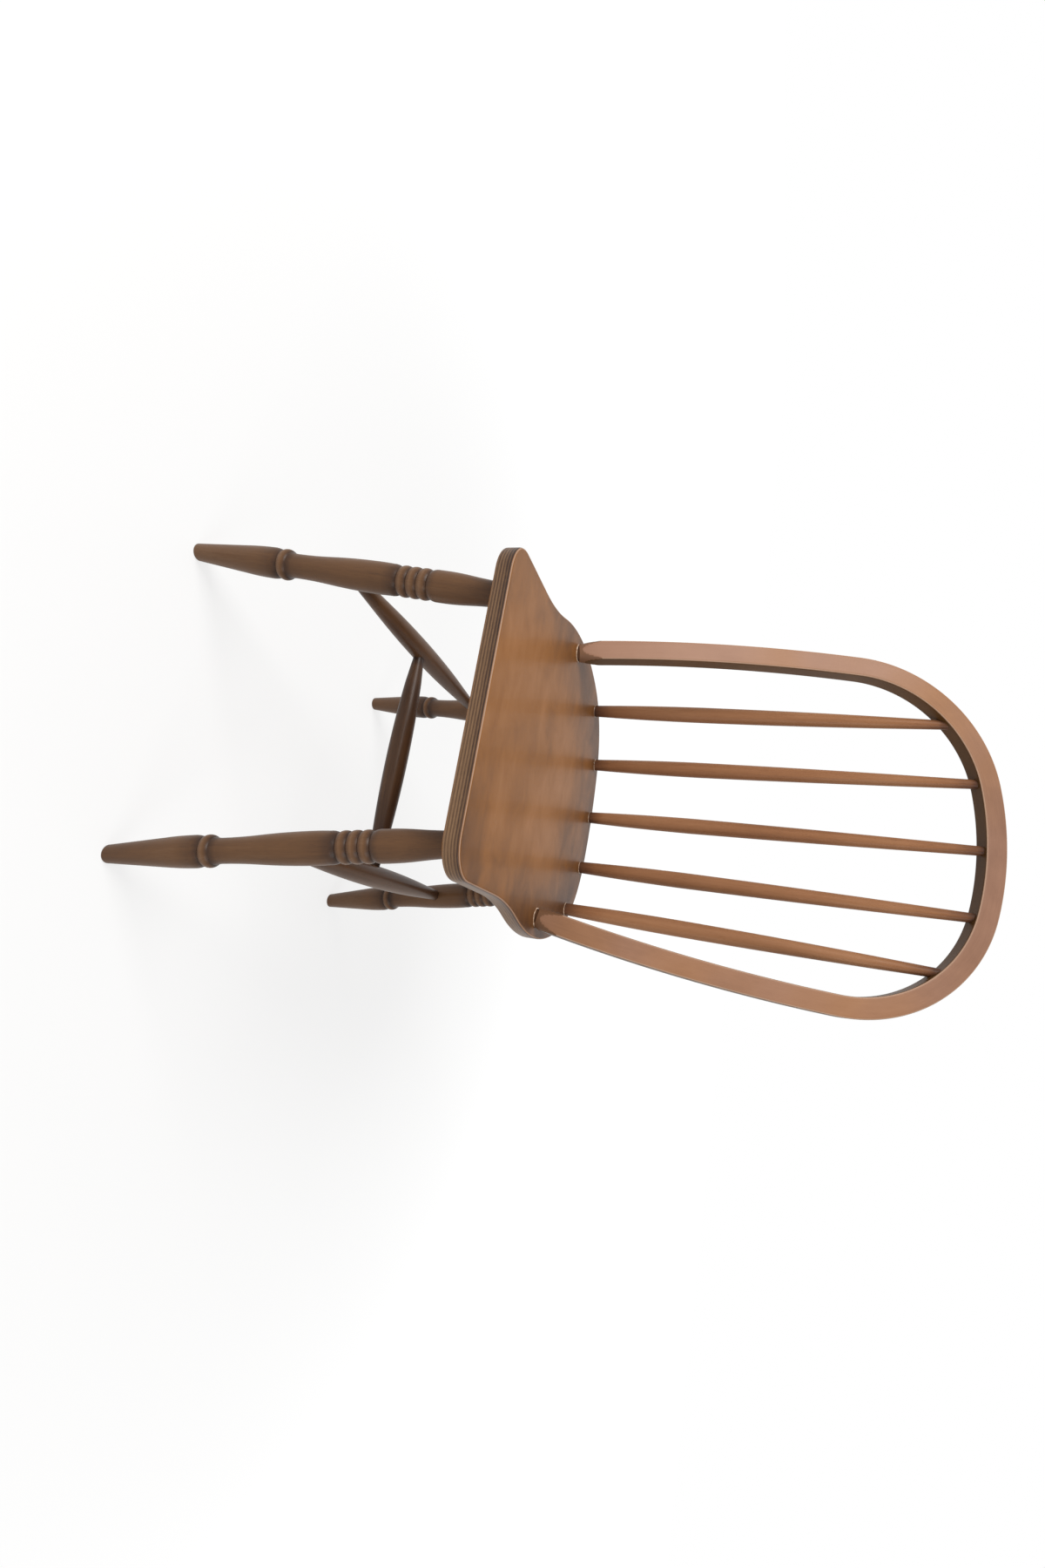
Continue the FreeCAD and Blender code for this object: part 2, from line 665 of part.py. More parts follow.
def bow_path(body):
    """Half of the middle line: top, shoulder and leg as tangent arcs, down to below the seat."""
    low = -mm("trim_allowance")
    drop = math.sqrt(mm("bow_leg_radius") ** 2 - (low - LEG_CENTRE[1]) ** 2)
    p1 = (0, BOW_TOP)
    p2 = beyond(TOP_CENTRE, SHOULDER_CENTRE, mm("bow_top_radius"))
    p3 = beyond(LEG_CENTRE, SHOULDER_CENTRE, mm("bow_leg_radius"))
    p4 = (LEG_CENTRE[0] + drop, low)
    sketch = new_sketch(body, "bow_path", "XY_Plane")
    top_arc = add_arc(sketch, TOP_CENTRE, p1, p2, -1)
    shoulder = add_arc(sketch, SHOULDER_CENTRE, p2, p3, -1)
    leg = add_arc(sketch, LEG_CENTRE, p3, p4, -1)
    sketch.addConstraint(Sketcher.Constraint("PointOnObject", top_arc[0], 3, -2))
    place(sketch, top_arc[0], top_arc[1], ZERO, size("bow_height") - half("bow_stock_width"))
    sketch.addConstraint(Sketcher.Constraint("Tangent", top_arc[0], top_arc[2],
                                             shoulder[0], shoulder[1]))
    sketch.addConstraint(Sketcher.Constraint("Tangent", shoulder[0], shoulder[2], leg[0], leg[1]))
    place_along(sketch, "X", shoulder[0], 3,
                half("bow_width") - half("bow_stock_width") - size("bow_shoulder_radius"))
    place_along(sketch, "Y", leg[0], leg[2], -size("trim_allowance"))
    foot = sketch.addGeometry(Part.Point(Vector(*FOOT, 0)), True)
    place(sketch, foot, 1, half("bow_foot_spread"), ZERO)
    sketch.addConstraint(Sketcher.Constraint("PointOnObject", foot, 1, leg[0]))
    for arc, alias in ((top_arc, "bow_top_radius"), (shoulder, "bow_shoulder_radius"),
                       (leg, "bow_leg_radius")):
        bind(sketch, Sketcher.Constraint("Radius", arc[0], mm(alias)), size(alias).formula)
    return sketch


def bow_section(body):
    """The square stick with its arrises eased, at the top of the bow on the middle plane."""
    sketch = new_sketch(body, "bow_section", "YZ_Plane")
    high = size("bow_height")
    low = high - size("bow_stock_width")
    back = half("bow_stock_depth")
    ease = size("bow_arris_round")
    corners = ((low, -back), (high, -back), (high, back), (low, back))
    inward = ((1, 1), (-1, 1), (-1, -1), (1, -1))
    arcs = []
    for (u, v), (su, sv) in zip(corners, inward):
        cu, cv = u + ease.times(su), v + ease.times(sv)
        centre = (cu.value, cv.value)
        ends = [(u.value, cv.value), (cu.value, v.value)]
        if su * sv < 0:
            ends.reverse()
        arc = add_arc(sketch, centre, ends[0], ends[1], 1)
        place(sketch, arc[0], 3, cu, cv)
        bind(sketch, Sketcher.Constraint("Radius", arc[0], ease.value), ease.formula)
        arcs.append(arc)
    for one, two in zip(arcs, arcs[1:] + arcs[:1]):
        first = sketch.getPoint(one[0], 2)
        second = sketch.getPoint(two[0], 1)
        line = add_line(sketch, (first.x, first.y), (second.x, second.y))
        sketch.addConstraint(Sketcher.Constraint("Tangent", one[0], 2, line, 1))
        sketch.addConstraint(Sketcher.Constraint("Tangent", line, 2, two[0], 1))
    return sketch


bow = new_body("bow_bending")
path = bow_path(bow)
section = bow_section(bow)
bend = bow.newObject("PartDesign::AdditivePipe", "bow_sweep")
bend.Profile = section
bend.Spine = path
bend.Mode = "Standard"
bow_mirror = bow.newObject("PartDesign::Mirrored", "bow_mirror")
bow_mirror.Originals = [bend]
bow_mirror.MirrorPlane = (path, ["V_Axis"])
bow.Tip = bow_mirror
bow.Placement = BOW


def bow_foot(side):
    """Middle of the bow's foot at the seat's top, and its direction up into the bow."""
    point = BOW.multVec(Vector(side * FOOT[0], FOOT[1], 0))
    up = BOW.Rotation.multVec(Vector(side * FOOT_UP.x, FOOT_UP.y, 0))
    return point, up


# The waste round each foot, which a hollow cutter takes off to leave the rounded taper
def foot_waste(name):
    foot = size("bow_foot_diameter")
    high = size("bow_foot_taper_height")
    body = new_body(name)
    sketch = new_sketch(body, name + "_profile", "XZ_Plane")
    wide = size("foot_cutter_radius")
    low = -size("trim_allowance").times(2)
    points = [(foot.times(0.5), low), (wide, low), (wide, high), (half("bow_foot_taper_diameter"), high)]
    lines = []
    for (x1, y1), (x2, y2) in zip(points, points[1:]):
        lines.append(add_line(sketch, (x1.value, y1.value), (x2.value, y2.value)))
    place(sketch, lines[0], 1, *points[0])
    for line, point in zip(lines, points[1:]):
        place(sketch, line, 2, *point)
    for one, two in zip(lines, lines[1:]):
        sketch.addConstraint(Sketcher.Constraint("Coincident", one, 2, two, 1))
    start = (points[3][0].value, points[3][1].value)
    via = (mm("bow_foot_taper_middle") / 2, high.value / 2)
    end = (foot.value / 2, 0.0)
    centre, turn = circle_through(start, via, end)
    arc = add_arc(sketch, centre, start, end, turn)
    sketch.addConstraint(Sketcher.Constraint("Coincident", lines[2], 2, arc[0], arc[1]))
    place(sketch, arc[0], arc[2], foot.times(0.5), ZERO)
    guide = sketch.addGeometry(Part.Point(Vector(*via, 0)), True)
    place(sketch, guide, 1, half("bow_foot_taper_middle"), high.times(0.5))
    sketch.addConstraint(Sketcher.Constraint("PointOnObject", guide, 1, arc[0]))
    inner = add_line(sketch, end, (end[0], points[0][1].value))
    sketch.addConstraint(Sketcher.Constraint("Coincident", arc[0], arc[2], inner, 1))
    sketch.addConstraint(Sketcher.Constraint("Coincident", inner, 2, lines[0], 1))
    ring = body.newObject("PartDesign::Revolution", name + "_ring")
    ring.Profile = sketch
    ring.ReferenceAxis = (sketch, ["V_Axis"])
    ring.Angle = 360
    body.Tip = ring
    return body


# Spindles
def bow_inside(x):
    """A point on the bow's inner face, at mid depth, at a distance from the middle."""
    join = beyond(TOP_CENTRE, SHOULDER_CENTRE, mm("bow_top_radius") - mm("bow_stock_width") / 2)
    if abs(x) <= join[0]:
        centre, radius = TOP_CENTRE, mm("bow_top_radius")
    else:
        centre, radius = SHOULDER_CENTRE, mm("bow_shoulder_radius")
    radius -= mm("bow_stock_width") / 2
    y = centre[1] + math.sqrt(radius ** 2 - (abs(x) - centre[0]) ** 2)
    return BOW.multVec(Vector(x, y, 0))


SPINDLES = {}
for number, side, spot in ((1, -1, "outer"), (2, -1, "inner"), (3, 0, "middle"),
                           (4, 1, "inner"), (5, 1, "outer")):
    foot_x = side * mm(f"spindle_{spot}_x") if side else 0.0
    top_x = side * mm(f"spindle_{spot}_top_x") if side else 0.0
    SPINDLES[f"spindle_{number}"] = (on_seat(foot_x, from_back(f"spindle_{spot}_setback")),
                                     bow_inside(top_x))

seat_spindle_holes, bow_spindle_holes = [], []
for name, (foot, top) in SPINDLES.items():
    length = Size((top - foot).Length, f"{(top - foot).Length}")
    foot_size, top_size = size("spindle_foot_diameter"), size("spindle_top_diameter")
    up = aimed(foot, top - foot)
    blank = turned_body(name, [
        (foot_size, -size("spindle_foot_tenon")),
        (foot_size, ZERO),
        (size("spindle_rise_diameter"), size("spindle_rise_at"),
         size("spindle_diameter"), size("spindle_swell_at")),
        (size("spindle_taper_diameter"), size("spindle_taper_at"),
         top_size, length - size("spindle_top_straight")),
        (top_size, length + size("spindle_top_tenon")),
    ])
    blank.Placement = up
    PIECES[name] = blank
    end_gap = size("socket_end_clearance")
    seat_spindle_holes.append(cylinder(
        name + "_seat_hole", foot_size.times(0.5) + SOCKET,
        size("spindle_foot_tenon") + end_gap + size("trim_allowance"),
        up.multiply(Placement(Vector(0, 0, -mm("spindle_foot_tenon") - end_gap.value),
                              Rotation()))))
    bow_spindle_holes.append(cylinder(
        name + "_bow_hole", top_size.times(0.5) + SOCKET,
        size("spindle_top_tenon") + end_gap + size("trim_allowance"),
        up.multiply(Placement(Vector(0, 0, length.value - mm("trim_allowance")), Rotation()))))

# Bow joinery: shaped feet, tenons right through the seat, wedged from below
wastes, bow_tenons, bow_tenon_holes, bow_wedges = [], [], [], []
for side, word in ((-1, "left"), (1, "right")):
    point, up = bow_foot(side)
    waste = foot_waste(f"bow_foot_waste_{word}")
    waste.Placement = aimed(point, up)
    wastes.append(waste)
    tenon_start = aimed(point + up * mm("trim_allowance"), -up)
    reach = size("seat_thickness").times(2) + size("trim_allowance")
    bow_tenons.append(cylinder(f"bow_tenon_{word}", half("bow_tenon_diameter"), reach, tenon_start))
    bow_tenon_holes.append(cylinder(f"bow_hole_{word}", half("bow_tenon_diameter") + SOCKET,
                                    reach + size("trim_allowance"), tenon_start))
    normal = SEAT.Rotation.multVec(Vector(0, 0, 1))
    depth = mm("seat_thickness") / up.dot(normal)
    slot = aimed(point - up * (depth + mm("bow_wedge_proud")), up)
    bow_wedges.append(wedge(f"bow_wedge_{word}", "bow",
                            slot.multiply(Placement(Vector(), Rotation(Vector(1, 0, 0), 90)))))

below_underside = block("below_underside", SEAT, -BLOCK.value - mm("seat_thickness"))
bow_shaped = cut("bow_shaped", bow, wastes + [below_top])
tenons_flush = cut("bow_tenons_flush", fuse("bow_tenons", bow_tenons), [below_underside])
bow_joined = fuse("bow_joined", [bow_shaped, tenons_flush])
bow_wedge_pair = cut("bow_wedges", fuse("bow_wedge_blanks", bow_wedges), [below_underside])
PIECES["bow"] = cut("bow", bow_joined, [bow_wedge_pair] + bow_spindle_holes)
PIECES["bow_wedges"] = bow_wedge_pair
PIECES["leg_wedges"] = fuse("leg_wedges", leg_wedges)

# Seat: the board with its holes, then its two face plies and the core between them
seat_drilled = cut("seat_drilled", seat, leg_holes + bow_tenon_holes + seat_spindle_holes)


def layer(name, below, thickness):
    corner = Vector(-BLOCK.value / 2, -BLOCK.value / 2, -below - thickness.value)
    slab = box(name + "_slab", BLOCK, BLOCK, thickness,
               SEAT.multiply(Placement(corner, Rotation())))
    result = doc.addObject("Part::Common", name)
    result.Base = seat_drilled
    result.Tool = slab
    result.Refine = True
    return result


face_ply = size("seat_face_ply")
core = size("seat_thickness") - face_ply.times(2)
PIECES["seat_top_ply"] = layer("seat_top_ply", 0.0, face_ply)
PIECES["seat_core"] = layer("seat_core", face_ply.value, core)
PIECES["seat_bottom_ply"] = layer("seat_bottom_ply", face_ply.value + core.value, face_ply)

doc.recompute()
for item in doc.Objects:
    if "Invalid" in item.State or "Error" in item.State:
        raise RuntimeError(f"{item.Label} failed: {item.State}")
os.makedirs("parts", exist_ok=True)
for name, item in PIECES.items():
    item.Label = name
    shape = item.Shape
    if shape.isNull() or not shape.isValid():
        raise RuntimeError(f"{name} has no valid shape")
    print(f"{name}: {len(shape.Solids)} solids, {shape.Volume / 1000:.1f} cm3")
    shape.exportStep(f"parts/{name}.step")
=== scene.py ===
# Windsor chair in stained and lacquered wood: a hooped bow and five spindles stand on a shaped
# plywood seat, on four turned legs that three stretchers hold in an H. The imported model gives
# every piece its place, in metres, with the front of the chair at -Y.
import math

import bpy
from mathutils import Matrix, Vector


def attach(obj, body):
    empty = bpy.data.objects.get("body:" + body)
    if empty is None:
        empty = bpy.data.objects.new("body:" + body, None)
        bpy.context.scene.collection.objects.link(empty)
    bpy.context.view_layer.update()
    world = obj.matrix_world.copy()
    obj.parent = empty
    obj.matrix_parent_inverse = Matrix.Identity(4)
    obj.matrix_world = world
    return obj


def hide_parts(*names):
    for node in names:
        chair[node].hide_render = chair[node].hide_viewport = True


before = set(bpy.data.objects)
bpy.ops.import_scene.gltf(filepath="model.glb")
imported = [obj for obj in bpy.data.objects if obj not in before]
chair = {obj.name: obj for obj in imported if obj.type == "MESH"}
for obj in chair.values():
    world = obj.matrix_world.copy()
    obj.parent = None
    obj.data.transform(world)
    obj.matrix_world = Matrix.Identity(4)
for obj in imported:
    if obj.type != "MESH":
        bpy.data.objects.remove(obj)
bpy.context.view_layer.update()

scene = bpy.context.scene

# Camera: a wide lens close to the chair, a little right of its middle and above the seat,
# looking down. The photograph lies on its side, so the camera does too.
camera_data = bpy.data.cameras.new("camera")
camera_data.sensor_width = 36
camera_data.lens = 17.7717
camera_data.clip_start = 0.05
camera = bpy.data.objects.new("camera", camera_data)
scene.collection.objects.link(camera)
heading, dip, tilt = 0.2621, 0.3501, 0.0789
ahead = Vector((-math.sin(heading) * math.cos(dip), math.cos(heading) * math.cos(dip), -math.sin(dip)))
level = Vector((math.cos(heading), math.sin(heading), 0))
above = level.cross(ahead)
right = math.cos(tilt) * level + math.sin(tilt) * above
up = math.cos(tilt) * above - math.sin(tilt) * level
turned = Matrix((up, -right, -ahead)).transposed().to_4x4()
camera.matrix_world = Matrix.Translation((0.25570, -0.89440, 0.73981)) @ turned
scene.camera = camera

# Floor and light: a white studio floor that keeps a soft shadow, one broad softbox above and
# in front on the left, a weaker one on the right, and an even white surround.
scene.view_settings.view_transform = "Standard"


def put(tree, kind, inputs=None, **settings):
    """Adds a node. An input is a plain value, or the output socket that feeds it."""
    made = tree.nodes.new("ShaderNode" + kind)
    for key, value in settings.items():
        setattr(made, key, value)
    for key, value in (inputs or {}).items():
        if isinstance(value, bpy.types.NodeSocket):
            tree.links.new(value, made.inputs[key])
        else:
            made.inputs[key].default_value = value
    return made


def sum_of(tree, operation, *values):
    return put(tree, "Math", dict(enumerate(values)), operation=operation).outputs[0]


def seen_directly(tree):
    """1 for the rays that show the surround itself: to the camera, in gloss or through glass."""
    path = put(tree, "LightPath").outputs
    either = sum_of(tree, "MAXIMUM", path["Is Camera Ray"], path["Is Glossy Ray"])
    return sum_of(tree, "MAXIMUM", either, path["Is Transmission Ray"])


world = bpy.data.worlds.new("studio")
scene.world = world
world.use_nodes = True
sky = world.node_tree
sky.nodes.clear()
soft = put(sky, "Background", {"Color": (1.0, 0.985, 0.96, 1), "Strength": 0.45})
white = put(sky, "Background", {"Color": (1, 1, 1, 1), "Strength": 1.0})
choice = put(sky, "MixShader", {0: seen_directly(sky), 1: soft.outputs[0], 2: white.outputs[0]})
put(sky, "OutputWorld", {"Surface": choice.outputs[0]})


def blank_material(name):
    """A new material, and its empty node tree."""
    made = bpy.data.materials.new(name)
    made.use_nodes = True
    made.node_tree.nodes.clear()
    return made, made.node_tree


floor_mesh = bpy.data.meshes.new("floor")
floor_mesh.from_pydata([(-9, -9, 0), (9, -9, 0), (9, 9, 0), (-9, 9, 0)], [], [(0, 1, 2, 3)])
floor = bpy.data.objects.new("floor", floor_mesh)
scene.collection.objects.link(floor)
floor_paint, tree = blank_material("floor_white")
matt = put(tree, "BsdfDiffuse", {"Color": (0.82, 0.82, 0.82, 1)})
bright = put(tree, "Emission", {"Color": (1, 1, 1, 1), "Strength": 1.04})
spot = put(tree, "TexCoord").outputs["Object"]
away = put(tree, "VectorMath", {0: spot}, operation="LENGTH").outputs["Value"]
plain = put(tree, "MapRange", {0: away, 1: 0.45, 2: 1.7, 3: 0.72, 4: 1.0},
            interpolation_type="SMOOTHSTEP").outputs[0]
share = sum_of(tree, "MULTIPLY", seen_directly(tree), plain)
blend = put(tree, "MixShader", {0: share, 1: matt.outputs[0], 2: bright.outputs[0]})
put(tree, "OutputMaterial", {"Surface": blend.outputs[0]})
floor_mesh.materials.append(floor_paint)


def softbox(name, spot, aim, width, height, watts, colour):
    data = bpy.data.lights.new(name, "AREA")
    data.shape = "RECTANGLE"
    data.size = width
    data.size_y = height
    data.energy = watts
    data.color = colour
    lamp = bpy.data.objects.new(name, data)
    lamp.location = spot
    lamp.rotation_euler = (Vector(aim) - Vector(spot)).to_track_quat("-Z", "Y").to_euler()
    scene.collection.objects.link(lamp)


softbox("key_light", (-1.5, -2.1, 2.5), (0, 0, 0.45), 1.8, 1.4, 84, (1.0, 0.985, 0.97))
softbox("fill_light", (2.2, -1.2, 1.5), (0, 0, 0.5), 1.4, 1.4, 20, (0.97, 0.985, 1.0))

# Seat: a board of plywood 19 mm thick, sawn to shape, its edges eased with a 3 mm round. The
# face veneer's grain runs from side to side, and stain and satin lacquer cover it all over.
seat_place = Matrix.Translation((0, -0.25994, 0.450)) @ Matrix.Rotation(math.radians(-1.9), 4, "X")


def on_seat(x, back, below=0.0):
    return seat_place @ Vector((x, back, -below))


def colour_ramp(tree, fac, stops, smooth=True):
    """Stops are (place, colour), and a colour that is one number is a grey."""
    ramp = put(tree, "ValToRGB", {"Fac": fac})
    ramp.color_ramp.interpolation = "EASE" if smooth else "LINEAR"
    marks = ramp.color_ramp.elements
    while len(marks) < len(stops):
        marks.new(0.5)
    for mark, (at, colour) in zip(marks, stops):
        mark.position = at
        mark.color = (*colour, 1) if isinstance(colour, tuple) else (colour, colour, colour, 1)
    return ramp.outputs["Color"]


def along_grain(tree, place, squeeze=1.0, shift=(0, 0, 0)):
    """A piece's own coordinates with Z along its grain, Z shortened by squeeze."""
    inside = place.inverted()
    spot = put(tree, "TexCoord").outputs["Object"]
    own = put(tree, "Mapping", {"Vector": spot, "Location": inside.to_translation(),
                                "Rotation": inside.to_euler()}).outputs[0]
    drawn = put(tree, "Mapping", {"Vector": own, "Location": shift, "Scale": (1, 1, squeeze)})
    return own, drawn.outputs[0]


def noise(tree, spot, scale, detail=3.0, rough=0.5, warp=0.0):
    return put(tree, "TexNoise", {"Vector": spot, "Scale": scale, "Detail": detail, "Roughness": rough,
                                  "Distortion": warp}).outputs["Fac"]


def finish_wood(tree, colour, bump, height, gloss, coat, coat_gloss, shine=0.10):
    """Stained wood under satin lacquer: the fibres show as a faint relief in the lacquer."""
    relief = put(tree, "Bump", {"Height": bump, "Strength": 0.5, "Distance": height})
    shader = put(tree, "BsdfPrincipled", {
        "Base Color": colour, "Roughness": gloss, "Normal": relief.outputs[0], "Coat Weight": coat,
        "Coat Roughness": coat_gloss, "Coat IOR": 1.5, "Specular IOR Level": shine})
    put(tree, "OutputMaterial", {"Surface": shader.outputs[0]})


def stained_wood(name, place, tones, seed, pooled_stain_and_shade=None, fibre=0.55, cloud=0.5, coat=0.08, coat_gloss=0.24,
                 drawn_out=0.45):
    """Wood with fine fibres and pores along place's Z, cloudy stain and lacquer. The pooling function, given
    tree and own, gives how much more stain and painted shade lies at each place, and below none, rubbed stain and
    painted highlight. tones run from the palest wood to the darkest."""
    made, tree = blank_material(name)
    own, drawn = along_grain(tree, place, 0.045, (seed * 0.37, seed * 0.61, seed * 0.13))
    broad = noise(tree, drawn, 150, 4, 0.55, 0.4)
    fine = noise(tree, drawn, 900, 2, 0.6)
    pores = sum_of(tree, "LESS_THAN", noise(tree, drawn, 1500, 0), 0.27)
    patch = put(tree, "Mapping", {"Vector": own, "Location": (seed, seed * 2.3, seed * 1.7),
                                  "Scale": (1, 1, drawn_out)})
    stain = noise(tree, patch.outputs[0], 26, 3, 0.6, 0.6)
    wide = noise(tree, patch.outputs[0], 8, 2, 0.5, 0.8)
    stain = sum_of(tree, "MULTIPLY_ADD", wide, 0.6, sum_of(tree, "MULTIPLY", stain, 0.4))
    dark = sum_of(tree, "MULTIPLY_ADD", sum_of(tree, "SUBTRACT", broad, 0.5), fibre, 0.42)
    dark = sum_of(tree, "MULTIPLY_ADD", sum_of(tree, "SUBTRACT", fine, 0.5), fibre * 0.45, dark)
    dark = sum_of(tree, "MULTIPLY_ADD", sum_of(tree, "SUBTRACT", stain, 0.5), cloud, dark)
    dark = sum_of(tree, "MULTIPLY_ADD", pores, 0.10, dark)
    # The pooled darkness holds stain and painted shade, and where it is negative, rubbed stain and painted highlight.
    if pooled_stain_and_shade:
        smudge = sum_of(tree, "MULTIPLY_ADD", stain, 0.9, 0.5)
        dark = sum_of(tree, "ADD", dark, sum_of(tree, "MULTIPLY", pooled_stain_and_shade(tree, own), smudge))
    colour = colour_ramp(tree, dark, tones, smooth=False)
    relief = sum_of(tree, "MULTIPLY_ADD", pores, -0.6, sum_of(tree, "ADD", broad, fine))
    gloss = sum_of(tree, "MULTIPLY_ADD", stain, 0.12, 0.36)
    finish_wood(tree, colour, relief, 0.00012, gloss, coat, coat_gloss)
    return made


def dress(node, material):
    for socket in chair[node].material_slots:
        socket.material = material


seat_grain = seat_place @ Matrix.Rotation(math.radians(90), 4, "Y")
# The palest tone is the pale pink of the painted highlight on the eased edge.
seat_tones = [(0.0, (0.350, 0.225, 0.160)), (0.14, (0.345, 0.150, 0.050)), (0.45, (0.252, 0.101, 0.025)),
              (0.75, (0.150, 0.063, 0.021)), (1.0, (0.085, 0.036, 0.015))]


def sprayed_stain_shade_and_highlight(tree, own):
    """The stain is darker towards the rim; the back and the right rear are darker still with painted shade, and the
    eased edge is pale with a painted highlight.
    """
    parts = put(tree, "SeparateXYZ", {0: own}).outputs
    across = sum_of(tree, "DIVIDE", parts["Z"], 0.205)
    back = sum_of(tree, "DIVIDE", sum_of(tree, "SUBTRACT", parts["Y"], 0.16), 0.34)
    square = sum_of(tree, "MULTIPLY_ADD", across, across, sum_of(tree, "MULTIPLY", back, back))
    out = sum_of(tree, "SQRT", square)
    shade = colour_ramp(tree, out, [(0.45, 0), (1.0, 0.32)])
    # Painted reflection and shade: a dark patch at the right rear, where the bow's dark right leg is reflected, and a
    # darker band along the back.
    rightward = put(tree, "MapRange", {0: parts["Z"], 1: 0.11, 2: 0.165, 3: 0.0, 4: 0.18}).outputs[0]
    rearward = put(tree, "MapRange", {0: parts["Y"], 1: 0.10, 2: 0.22, 3: 0.0, 4: 1.0}).outputs[0]
    shade = sum_of(tree, "MULTIPLY_ADD", rightward, rearward, shade)
    rear = put(tree, "MapRange", {0: parts["Y"], 1: 0.28, 2: 0.38, 3: 0.0, 4: 0.08}).outputs[0]
    shade = sum_of(tree, "ADD", shade, rear)
    # Painted highlight: a pale band round the eased top edge, about 0.5 to 1 mm below the top.
    down = sum_of(tree, "MULTIPLY", parts["X"], 500)
    painted_rim_highlight = colour_ramp(tree, down, [(0.10, 0), (0.26, 1), (0.50, 1), (0.62, 0)], smooth=False)
    return sum_of(tree, "MULTIPLY_ADD", painted_rim_highlight, -0.9, shade)


seat_veneer = stained_wood("seat_veneer", seat_grain, seat_tones, 3, sprayed_stain_shade_and_highlight, fibre=0.10, cloud=1.15,
                           coat=0.05, coat_gloss=0.12, drawn_out=0.75)
dress("seat_top_ply", seat_veneer)
dress("seat_bottom_ply", stained_wood("seat_underside", seat_grain, seat_tones, 8, fibre=0.4, cloud=0.5))

# Seat edge: the sawn plies show as fine lines all round, pale where the grain runs along the
# edge and dark where it ends in it, because end grain drinks the stain. The lines wander.
ply_edge, tree = blank_material("ply_edge")
own, _ = along_grain(tree, seat_place)
wander = noise(tree, put(tree, "Mapping", {"Vector": own, "Scale": (1, 1, 6)}).outputs[0], 9, 3, 0.6)
depth = sum_of(tree, "MULTIPLY_ADD", sum_of(tree, "SUBTRACT", wander, 0.5), 0.0011,
               put(tree, "SeparateXYZ", {0: own}).outputs["Z"])
height = put(tree, "MapRange", {0: depth, 1: -0.019, 2: -0.001, 3: 0.0, 4: 1.0}).outputs[0]
wave = sum_of(tree, "SINE", sum_of(tree, "MULTIPLY", depth, 2 * math.pi / 0.0032))
drag = put(tree, "Mapping", {"Vector": own, "Scale": (1, 1, 30)}).outputs[0]
fibres = noise(tree, drag, 45, 5, 0.7, 0.3)
flecks = noise(tree, put(tree, "Mapping", {"Vector": own, "Scale": (1, 1, 14)}).outputs[0], 220, 3, 0.6)
by_height = colour_ramp(tree, height, [(0.0, 0.34), (0.6, 0.42), (0.84, 0.66), (0.93, 0.72), (1.0, 0.45)],
                        smooth=False)
line = sum_of(tree, "MULTIPLY_ADD", wave, 0.24, by_height)
line = sum_of(tree, "MULTIPLY_ADD", sum_of(tree, "SUBTRACT", fibres, 0.5), 1.1, line)
line = sum_of(tree, "MULTIPLY_ADD", sum_of(tree, "SUBTRACT", flecks, 0.5), 0.6, line)
# The edge is darker on the left than on the right
sideways = put(tree, "SeparateXYZ", {0: own}).outputs["X"]
leftward_darkening = put(tree, "MapRange", {0: sideways, 1: -0.19, 2: 0.17, 3: 0.13, 4: -0.12}).outputs[0]
line = sum_of(tree, "ADD", line, leftward_darkening)
edge_tones = [(0.0, (0.215, 0.125, 0.066)), (0.42, (0.128, 0.070, 0.036)), (0.7, (0.066, 0.034, 0.020)),
              (1.0, (0.026, 0.014, 0.010))]
edge_colour = colour_ramp(tree, line, edge_tones, smooth=False)
finish_wood(tree, edge_colour, line, -0.0002, 0.5, 0.25, 0.3)
dress("seat_core", ply_edge)

# Legs: hardwood turned on a lathe, with a long vase, three beads, a barrel, one more bead and a
# bulb that tapers to the floor. Stain gathers in the grooves and rubs thin on the beads, which are
# paler still with a painted highlight, and the top of the vase is darker with the seat's painted shade.
def stick_place(start, end):
    """A frame at start with its Z along the stick."""
    z = (end - start).normalized()
    x = Vector((0, 0, 1)).cross(z).normalized()
    return Matrix.Translation(start) @ Matrix((x, z.cross(x), z)).transposed().to_4x4()


def rings(stops, span):
    """Extra darkness at distances down a stick, as (metres, amount): stain, with painted shade and highlight in it.
    0.5 is none, and less is paler, where stain is rubbed thin and highlight is painted.
    """
    def pooled_stain_and_shade(tree, own):
        down = sum_of(tree, "DIVIDE", put(tree, "SeparateXYZ", {0: own}).outputs["Z"], span)
        shades = [(at / span, amount) for at, amount in stops]
        return sum_of(tree, "SUBTRACT", colour_ramp(tree, down, shades, smooth=False), 0.5)
    return pooled_stain_and_shade


# Down each leg: the grooves take more stain (1.0); the beads are pale (0.30) from rubbed stain and a painted
# highlight; the top 6 cm of the vase is darker with the seat's painted shade.
leg_stops = [
    (0.0000, 0.95), (0.0060, 0.78), (0.0220, 0.68), (0.0600, 0.56), (0.0860, 0.58), (0.0940, 0.80),
    (0.0973, 1.00), (0.1000, 0.65), (0.1038, 0.30), (0.1080, 0.65), (0.1104, 1.00), (0.1128, 0.65),
    (0.1170, 0.30), (0.1210, 0.65), (0.1235, 1.00), (0.1260, 0.65), (0.1300, 0.30), (0.1340, 0.65),
    (0.1366, 1.00), (0.1420, 0.78), (0.1540, 0.58), (0.1800, 0.50), (0.2600, 0.52), (0.2800, 0.64),
    (0.2885, 1.00), (0.2915, 0.60), (0.2950, 0.30), (0.2985, 0.60), (0.3015, 1.00), (0.3080, 0.72),
    (0.3300, 0.52),
]
